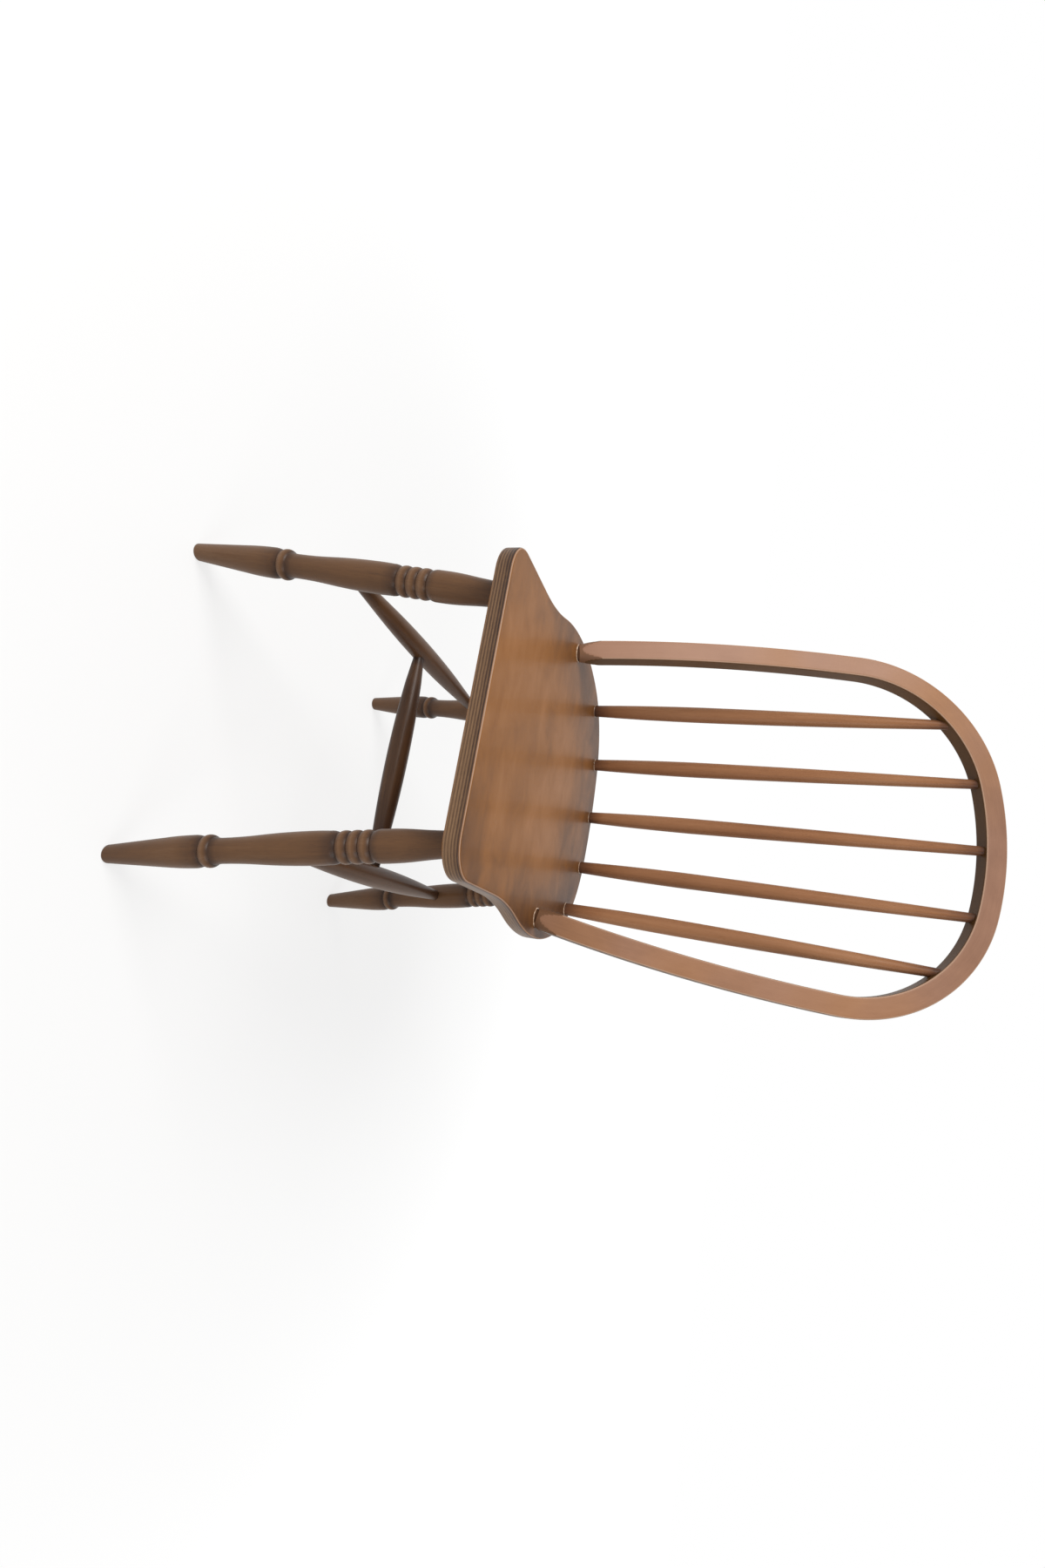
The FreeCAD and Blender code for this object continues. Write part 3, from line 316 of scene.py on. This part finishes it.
# The palest tones serve the beads' painted highlight.
leg_tones = [(0.0, (0.235, 0.150, 0.098)), (0.22, (0.165, 0.090, 0.048)), (0.42, (0.122, 0.059, 0.026)),
             (0.70, (0.068, 0.033, 0.017)), (1.0, (0.022, 0.012, 0.009))]
legs = {}
for side, word in ((-1, "left"), (1, "right")):
    legs["leg_front_" + word] = (on_seat(side * 0.136, 0.0577, 0.019), Vector((side * 0.195, -0.21694, 0)))
    legs["leg_rear_" + word] = (on_seat(side * 0.130, 0.4039, 0.019), Vector((side * 0.179, 0.25006, 0)))
# Each leg's foot is given its own darkness: the front left paler, the front right darker.
foot_darkness = {"leg_front_left": 0.38, "leg_rear_left": 0.50,
              "leg_front_right": 0.62, "leg_rear_right": 0.46}
for seed, (name, (top, foot)) in enumerate(legs.items()):
    more = 0.10 if name == "leg_rear_left" else 0.0
    stops = [(at, min(1.0, amount + more)) for at, amount in leg_stops] + [(0.4350, foot_darkness[name])]
    dress(name, stained_wood(name + "_wood", stick_place(top, foot), leg_tones, 11 + seed * 5, rings(stops, 0.44),
                             fibre=0.30, coat=0.20, coat_gloss=0.32))

# Stretchers: three turned sticks, stout in the middle and thin at their round tenons. Two run
# between front and rear legs, and the third joins those two.
def along(line, distance):
    return line[0] + (line[1] - line[0]).normalized() * distance


stretcher_tones = [(0.0, (0.170, 0.092, 0.050)), (0.42, (0.094, 0.046, 0.022)), (0.70, (0.048, 0.024, 0.014)),
                   (1.0, (0.016, 0.009, 0.007))]
stretchers = {}
for word in ("left", "right"):
    stretchers["side_stretcher_" + word] = (along(legs["leg_front_" + word], 0.204),
                                            along(legs["leg_rear_" + word], 0.199))
stretchers["cross_stretcher"] = (along(stretchers["side_stretcher_left"], 0.190),
                                 along(stretchers["side_stretcher_right"], 0.190))
for seed, (name, (start, end)) in enumerate(stretchers.items()):
    span = (end - start).length
    # Painted shade: the cross stretcher, deepest under the chair, is darker along its length, and the side ones a
    # little paler.
    painted_shade_offset = 0.20 if name == "cross_stretcher" else -0.03
    ends = rings([(0.0, 1.0), (0.016, 0.95), (0.026, 0.68), (0.06, 0.52 + painted_shade_offset), (span / 2, 0.46 + painted_shade_offset),
                  (span - 0.06, 0.52 + painted_shade_offset), (span - 0.026, 0.68), (span - 0.016, 0.95)], span)
    dress(name, stained_wood(name + "_wood", stick_place(start, end), stretcher_tones, 31 + seed * 4, ends,
                             fibre=0.40, coat=0.20, coat_gloss=0.30))

# Spindles: five slim turned sticks, stoutest a third of the way up, set in the seat and in the
# bow. They take less stain than the legs, and it darkens towards both ends.
bow_place = seat_place @ Matrix.Translation((0, 0.2833, 0)) @ Matrix.Rotation(math.radians(90 - 18.1), 4, "X")
spindle_tones = [(0.0, (0.40, 0.205, 0.105)), (0.42, (0.270, 0.122, 0.056)), (0.70, (0.150, 0.064, 0.031)),
                 (1.0, (0.045, 0.021, 0.014))]
spindle_feet = {"spindle_1": (-0.149, 0.4212), "spindle_2": (-0.080, 0.4713), "spindle_3": (0.0, 0.4853),
                "spindle_4": (0.080, 0.4713), "spindle_5": (0.149, 0.4212)}
spindle_tops = {"spindle_1": (-0.1625, 0.4930), "spindle_2": (-0.0875, 0.5386), "spindle_3": (0.0, 0.5490),
                "spindle_4": (0.0875, 0.5386), "spindle_5": (0.1625, 0.4930)}
paler = {"spindle_1": 0.0, "spindle_2": 0.0, "spindle_3": -0.05, "spindle_4": 0.03, "spindle_5": 0.12}
for seed, (name, (x, back)) in enumerate(spindle_feet.items()):
    foot = on_seat(x, back)
    plain = 0.46 - paler[name]
    low = 0.22 if name == "spindle_3" else 0.0
    top = bow_place @ Vector((*spindle_tops[name], 0))
    span = (top - foot).length
    # At 6 cm up the stain is a little lighter than higher up: painted light, for the light the seat throws up.
    ends = rings([(0.0, 1.0), (0.007, 0.82), (0.024, 0.56 - low), (0.06, plain - 0.04 - low), (0.25, plain),
                  (span - 0.09, plain - 0.03 - low / 3), (span - 0.03, 0.58), (span - 0.006, 0.8), (span, 1.0)], span)
    dress(name, stained_wood(name + "_wood", stick_place(foot, top), spindle_tones, 51 + seed * 3, ends,
                             fibre=0.35))

# Wedges: slips of bare hardwood that spread the tenons in their holes. Only the ends of the two
# in the bow's tenons show, under the seat.
wedge_tones = [(0.0, (0.50, 0.34, 0.20)), (0.5, (0.38, 0.24, 0.13)), (1.0, (0.2, 0.12, 0.07))]
wedge_wood = stained_wood("wedge_wood", bow_place, wedge_tones, 71)
dress("leg_wedges", wedge_wood)
dress("bow_wedges", wedge_wood)

# Bow: one square stick of straight wood, steamed and bent round a form, its arrises eased. Each
# foot is sharpened to a round that stands on the seat, with a round tenon through it.
half_wide, half_deep, ease = 0.01325, 0.0125, 0.0025
bow_height, bow_width, half_spread = 0.5755, 0.4692, 0.178
top_radius, shoulder_radius, leg_radius = 0.3847, 0.1758, 2.480
skin = half_wide - 0.00003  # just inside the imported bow
top_centre = Vector((0, bow_height - half_wide - top_radius))
shoulder_x = bow_width / 2 - half_wide - shoulder_radius
shoulder_rise = math.sqrt((top_radius - shoulder_radius) ** 2 - shoulder_x ** 2)
shoulder_centre = Vector((shoulder_x, top_centre.y + shoulder_rise))
bow_foot = Vector((half_spread, 0))
reach = bow_foot - shoulder_centre
near = ((leg_radius - shoulder_radius) ** 2 - leg_radius ** 2 + reach.length_squared) / (2 * reach.length)
rise = math.sqrt((leg_radius - shoulder_radius) ** 2 - near ** 2)
way = reach.normalized()
leg_centre = shoulder_centre + way * near + Vector((way.y, -way.x)) * rise
first_turn = math.atan2(shoulder_centre.x - top_centre.x, shoulder_centre.y - top_centre.y)
out = shoulder_centre - leg_centre
second_turn = math.pi / 2 - math.atan2(out.y, out.x)
foot_turn = math.pi / 2 - math.atan2(-leg_centre.y, half_spread - leg_centre.x)
lengths = (top_radius * first_turn, shoulder_radius * (second_turn - first_turn),
           leg_radius * (foot_turn - second_turn))
half_length = sum(lengths)


def bow_line(s):
    """Middle of the stick and its outward direction, s metres from the top of the hoop."""
    side, s = (1, s) if s >= 0 else (-1, -s)
    if s < lengths[0]:
        centre, radius, turn = top_centre, top_radius, s / top_radius
    elif s < lengths[0] + lengths[1]:
        centre, radius = shoulder_centre, shoulder_radius
        turn = first_turn + (s - lengths[0]) / shoulder_radius
    else:
        centre, radius = leg_centre, leg_radius
        turn = second_turn + (s - lengths[0] - lengths[1]) / leg_radius
    away = Vector((math.sin(turn), math.cos(turn)))
    spot = centre + away * radius
    return Vector((side * spot.x, spot.y)), Vector((side * away.x, away.y))


# Each point of the section: across, through, its arris wear and painted highlight, and its share of the painted side
# shade.
section = []
for sx, sy, quarter in ((1, 1, 0), (-1, 1, 1), (-1, -1, 2), (1, -1, 3)):
    for step in range(7):
        angle = math.radians(90 * quarter + 15 * step)
        section.append((sx * (skin - ease) + ease * math.cos(angle),
                        sy * (half_deep - ease) + ease * math.sin(angle),
                        1 - abs(step - 3) / 3.5, math.cos(angle) ** 2))
    start, turn_in = section[-1], ((-1, 1), (-1, -1), (1, -1), (1, 1))[quarter]
    ax, ay = start[0], start[1]
    angle = math.radians(90 * (quarter + 1))
    bx = turn_in[0] * (skin - ease) + ease * math.cos(angle)
    by = turn_in[1] * (half_deep - ease) + ease * math.sin(angle)
    for step in range(1, 10):
        section.append((ax + (bx - ax) * step / 10, ay + (by - ay) * step / 10, 0.0, start[3]))


def foot_radius(high):
    """The sharpened foot: 11.5 mm at the seat, 14.75 mm half way up and 17.5 mm at 32 mm."""
    t = max(0.0, high / 0.032)
    return 0.0115 + 0.0070 * t - 0.0010 * t * t


def ring_at(s, limit):
    """Points round the stick s metres from the top, with its arris wear and highlight, and its share of the darker
    side colour: painted shade on the side faces, end grain on the sharpened foot.
    """
    spot, away = bow_line(s)
    points, wears_and_highlights, painted_shade_sides = [], [], []
    for a, b, edge_wear_and_highlight, side in section:
        keep = min(1.0, limit / math.hypot(a, b))
        points.append(bow_place @ Vector((spot.x + away.x * a * keep, spot.y + away.y * a * keep, b * keep)))
        wears_and_highlights.append(edge_wear_and_highlight if keep == 1.0 else 0.0)
        painted_shade_sides.append(side if keep == 1.0 else 0.5)
    return points, wears_and_highlights, painted_shade_sides, s


stations = [-half_length + 0.0006 * i for i in range(60)]
while stations[-1] < 0:
    stations.append(stations[-1] + 0.0035)
stations = stations[:-1]
stations += [0.0] + [-s for s in reversed(stations)]
rings_of_bow = []
for s in stations:
    high = half_length - abs(s)
    rings_of_bow.append(ring_at(s, foot_radius(high) if high < 0.036 else 1.0))
for end in (-1, 1):
    # The round tenon goes straight on from the foot, to just short of the seat's underside
    top_ring = ring_at(end * half_length, 0.009)
    spot, _ = bow_line(end * half_length)
    higher, _ = bow_line(end * (half_length - 0.001))
    down = (bow_place.to_3x3() @ Vector((spot.x - higher.x, spot.y - higher.y, 0))).normalized()
    inside = seat_place.inverted()
    sink = (inside.to_3x3() @ down).z
    low_points = [point + down * ((-0.0189 - (inside @ point).z) / sink) for point in top_ring[0]]
    low_ring = (low_points, top_ring[1], top_ring[2], top_ring[3] + end * 0.02)
    rings_of_bow = rings_of_bow + [top_ring, low_ring] if end > 0 else [low_ring, top_ring] + rings_of_bow

count = len(section)
verts, arris_wear_and_highlight, painted_shade_flank, faces, along_uv = [], [], [], [], []
for points, wears_and_highlights, painted_shade_sides, _ in rings_of_bow:
    verts += points
    arris_wear_and_highlight += wears_and_highlights
    painted_shade_flank += painted_shade_sides
for i in range(len(rings_of_bow) - 1):
    u0, u1 = rings_of_bow[i][3], rings_of_bow[i + 1][3]
    for j in range(count):
        k = (j + 1) % count
        faces.append((i * count + j, i * count + k, (i + 1) * count + k, (i + 1) * count + j))
        v0, v1 = j / count * 0.09, (j + 1) / count * 0.09
        along_uv += [(u0, v0), (u0, v1), (u1, v1), (u1, v0)]
last = (len(rings_of_bow) - 1) * count
faces.append(tuple(range(count - 1, -1, -1)))
faces.append(tuple(range(last, last + count)))
along_uv += [(u, 0.0) for u in [-half_length] * count + [half_length] * count]
bow_mesh = bpy.data.meshes.new("bow_bent")
bow_mesh.from_pydata(verts, [], faces)
grain_map = bow_mesh.uv_layers.new(name="grain")
for loop, uv in zip(grain_map.data, along_uv):
    loop.uv = uv
# Two attributes: the arris wear and painted highlight, and the share of painted shade on the side faces.
bow_mesh.attributes.new("arris_wear_and_highlight", "FLOAT", "POINT").data.foreach_set("value", arris_wear_and_highlight)
bow_mesh.attributes.new("painted_shade_flank", "FLOAT", "POINT").data.foreach_set("value", painted_shade_flank)
bow_mesh.shade_smooth()
bow_piece = bpy.data.objects.new("bow_bent", bow_mesh)
scene.collection.objects.link(bow_piece)

bow_wood, tree = blank_material("bow_wood")
strip = put(tree, "UVMap", uv_map="grain").outputs[0]
drawn = put(tree, "Mapping", {"Vector": strip, "Scale": (0.045, 1, 1)}).outputs[0]
broad = noise(tree, drawn, 180, 4, 0.55, 0.3)
fine = noise(tree, drawn, 1100, 2, 0.6)
stain = noise(tree, put(tree, "Mapping", {"Vector": strip, "Scale": (0.5, 1, 1)}).outputs[0], 24, 3, 0.6, 0.5)
drift = noise(tree, strip, 5.5, 2, 0.5)
where = put(tree, "SeparateXYZ", {0: strip}).outputs["X"]
# Painted shade along the bow: darkest at the top of the hoop and towards the right foot, lighter down the left leg.
crown_painted_shade = colour_ramp(tree, sum_of(tree, "MULTIPLY_ADD", where, 0.5 / half_length, 0.5),
                    [(0.0, 0.12), (0.08, 0), (0.14, 0), (0.26, 0.06), (0.36, 0.14),
                     (0.50, 0.32), (0.62, 0.26), (0.72, 0.10), (0.88, 0.14),
                     (1.0, 0.30)])
dark = sum_of(tree, "MULTIPLY_ADD", sum_of(tree, "SUBTRACT", broad, 0.5), 0.16, 0.275)
dark = sum_of(tree, "MULTIPLY_ADD", sum_of(tree, "SUBTRACT", fine, 0.5), 0.12, dark)
dark = sum_of(tree, "MULTIPLY_ADD", sum_of(tree, "SUBTRACT", stain, 0.5), 0.40, dark)
dark = sum_of(tree, "ADD", dark, crown_painted_shade)
pink = colour_ramp(tree, dark, [(0.0, (0.39, 0.225, 0.152)), (0.42, (0.305, 0.166, 0.108)),
                                (0.8, (0.165, 0.083, 0.054)), (1.0, (0.08, 0.040, 0.028))], smooth=False)
tan = colour_ramp(tree, dark, [(0.0, (0.41, 0.215, 0.108)), (0.42, (0.305, 0.148, 0.070)),
                               (0.8, (0.175, 0.084, 0.042)), (1.0, (0.08, 0.040, 0.025))], smooth=False)
# Painted shade: the inner and outer side faces get a darker brown copy of the stain.
painted_shade_brown = colour_ramp(tree, dark, [(0.0, (0.165, 0.080, 0.028)), (0.45, (0.094, 0.044, 0.014)),
                                 (1.0, (0.030, 0.015, 0.008))], smooth=False)
lean = colour_ramp(tree, sum_of(tree, "MULTIPLY_ADD", where, 0.5 / half_length, 0.5),
                   [(0.0, 0.28), (0.2, 0.36), (0.34, 0.54), (0.5, 0.42),
                    (0.66, 0.40), (0.8, 0.52), (1.0, 0.50)])
tint = sum_of(tree, "MULTIPLY_ADD", sum_of(tree, "SUBTRACT", drift, 0.5), 0.8, lean)
hue = colour_ramp(tree, tint, [(0.34, 0), (0.66, 1)])
front = put(tree, "Mix", {0: hue, 6: pink, 7: tan}, data_type="RGBA").outputs[2]
painted_shade_share = put(tree, "Attribute", attribute_name="painted_shade_flank").outputs["Fac"]
painted_shade_sides = colour_ramp(tree, painted_shade_share, [(0.35, 0), (0.65, 1)])
stained = put(tree, "Mix", {0: painted_shade_sides, 6: front, 7: painted_shade_brown}, data_type="RGBA").outputs[2]
# Painted highlight and wear: the eased arrises are paler, from stain rubbed thin and from a painted highlight.
arris_wear_and_highlight_share = put(tree, "Attribute", attribute_name="arris_wear_and_highlight").outputs["Fac"]
worn_and_highlit = colour_ramp(tree, arris_wear_and_highlight_share, [(0.45, 0), (0.85, 0.8)])
rubbed_and_highlit = put(tree, "Mix", {0: worn_and_highlit, 6: stained, 7: (0.50, 0.33, 0.235, 1)}, data_type="RGBA").outputs[2]
finish_wood(tree, rubbed_and_highlit, sum_of(tree, "ADD", broad, fine), 0.00010, 0.42, 0.10, 0.28, 0.06)
bow_mesh.materials.append(bow_wood)
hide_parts("bow")
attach(bow_piece, "root")

# Dried lacquer: where the spindles and the bow stand on the seat, the lacquer that ran down them
# has dried as a thin bead round each foot, pale from the lacquer's own cloudiness and from a painted glint.
bead_rings = [(on_seat(x, back), 0.0083, 0.00075) for x, back in spindle_feet.values()]
bead_rings += [(bow_place @ Vector((side * half_spread, 0, 0)), 0.0112, 0.0011) for side in (-1, 1)]
bead_verts, bead_faces = [], []
for number, (middle, radius, thick) in enumerate(bead_rings):
    first = len(bead_verts)
    for i in range(40):
        turn = 2 * math.pi * i / 40
        swell = thick * (0.75 + 0.35 * math.sin(turn * 2 + number * 1.7) * math.cos(turn + number))
        for j in range(6):
            rise = math.pi * j / 5
            reach = radius + swell * math.cos(rise) * 0.9
            off = Vector((reach * math.cos(turn), reach * math.sin(turn) * 1.03, swell * math.sin(rise) - 0.0001))
            bead_verts.append(middle + seat_place.to_3x3() @ off)
    for i in range(40):
        for j in range(5):
            a, b = first + i * 6 + j, first + (i + 1) % 40 * 6 + j
            bead_faces.append((a, b, b + 1, a + 1))
bead_mesh = bpy.data.meshes.new("lacquer_beads")
bead_mesh.from_pydata(bead_verts, [], bead_faces)
bead_mesh.shade_smooth()
lacquer_beads = bpy.data.objects.new("lacquer_beads", bead_mesh)
scene.collection.objects.link(lacquer_beads)
dried_and_glint, tree = blank_material("dried_lacquer_and_glint")
cloudy = noise(tree, put(tree, "TexCoord").outputs["Object"], 400, 3, 0.6)
# Painted glint: the beads are given a pale colour, far paler than the wood.
pale_and_glint = colour_ramp(tree, cloudy, [(0.35, (0.30, 0.17, 0.10)), (0.65, (0.62, 0.46, 0.34))])
finish_wood(tree, pale_and_glint, cloudy, 0.0001, 0.35, 0.5, 0.15)
bead_mesh.materials.append(dried_and_glint)
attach(lacquer_beads, "root")
